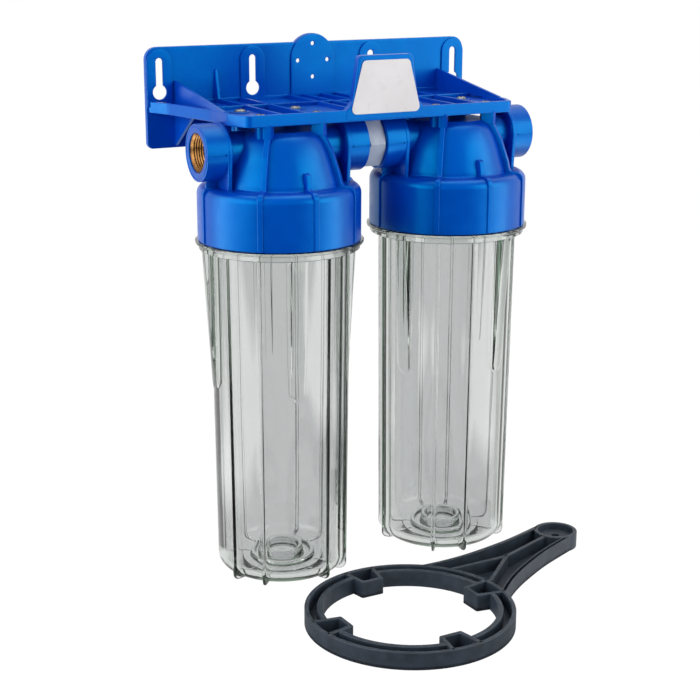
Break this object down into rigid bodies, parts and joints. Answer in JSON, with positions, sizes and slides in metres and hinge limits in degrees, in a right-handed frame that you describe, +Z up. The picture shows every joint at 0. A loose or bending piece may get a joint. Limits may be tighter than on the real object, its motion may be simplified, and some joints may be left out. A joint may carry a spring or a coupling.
{
  "type": "whole house water filter",
  "caption": "Twin in-line whole-house water filter: clear screw-on sumps under blue ported caps on a wall bracket, with its sump wrench.",
  "frame": {"origin": "centre of the overall box, at the floor that the sumps and the wrench stand on", "axes": "+Z up along the sumps, +Y towards the wall behind the bracket, +X from the inlet port to the outlet port"},
  "size_m": [0.2831, 0.2982, 0.3838],
  "materials": {
    "blue_plastic": "moulded polypropylene, satin",
    "clear_plastic": "clear moulded styrene acrylonitrile",
    "seal_rubber": "moulded rubber cord ring",
    "brass": "machined",
    "white_plastic": "natural nylon, moulded",
    "screw_steel": "nickel plated",
    "white_label": "bare printed film",
    "dark_plastic": "glass-filled nylon, moulded"
  },
  "bodies": {
    "filter_head": {"bracket": "blue_plastic", "label_plate": "white_label", "cap_left": "blue_plastic", "cap_right": "blue_plastic", "inlet_insert_left": "brass", "outlet_insert_left": "brass", "inlet_insert_right": "brass", "outlet_insert_right": "brass", "hex_nipple": "white_plastic", "bracket_screw_1": "screw_steel", "bracket_screw_2": "screw_steel", "bracket_screw_3": "screw_steel", "bracket_screw_4": "screw_steel", "bracket_screw_5": "screw_steel", "bracket_screw_6": "screw_steel", "bracket_screw_7": "screw_steel", "bracket_screw_8": "screw_steel"},
    "ring_left_body": {"o_ring_left": "seal_rubber"},
    "ring_right_body": {"o_ring_right": "seal_rubber"},
    "sump_left_body": {"sump_left": "clear_plastic"},
    "sump_right_body": {"sump_right": "clear_plastic"},
    "wrench_body": {"housing_wrench": "dark_plastic"}
  },
  "joints": [
    {"name": "sump_left_drop", "type": "slide", "parent": "filter_head", "child": "ring_left_body", "axis": [0, 0, -1], "range_m": [0, 0.02]},
    {"name": "sump_left_unscrew", "type": "hinge", "parent": "ring_left_body", "child": "sump_left_body", "pos_m": [-0.07708, 0.0597, 0.2487], "axis": [0, 0, -1], "range_deg": [0, 1440]},
    {"name": "sump_right_drop", "type": "slide", "parent": "filter_head", "child": "ring_right_body", "axis": [0, 0, -1], "range_m": [0, 0.02]},
    {"name": "sump_right_unscrew", "type": "hinge", "parent": "ring_right_body", "child": "sump_right_body", "pos_m": [0.06192, 0.0597, 0.2487], "axis": [0, 0, -1], "range_deg": [0, 1440]},
    {"name": "wrench_lift", "type": "slide", "parent": "filter_head", "child": "wrench_body", "axis": [0, 0, 1], "range_m": [0, 0.1]}
  ],
  "couplings": [
    {"joint": "sump_left_drop", "follows": "sump_left_unscrew", "m_per_rad": 0.00079577},
    {"joint": "sump_right_drop", "follows": "sump_right_unscrew", "m_per_rad": 0.00079577}
  ]
}
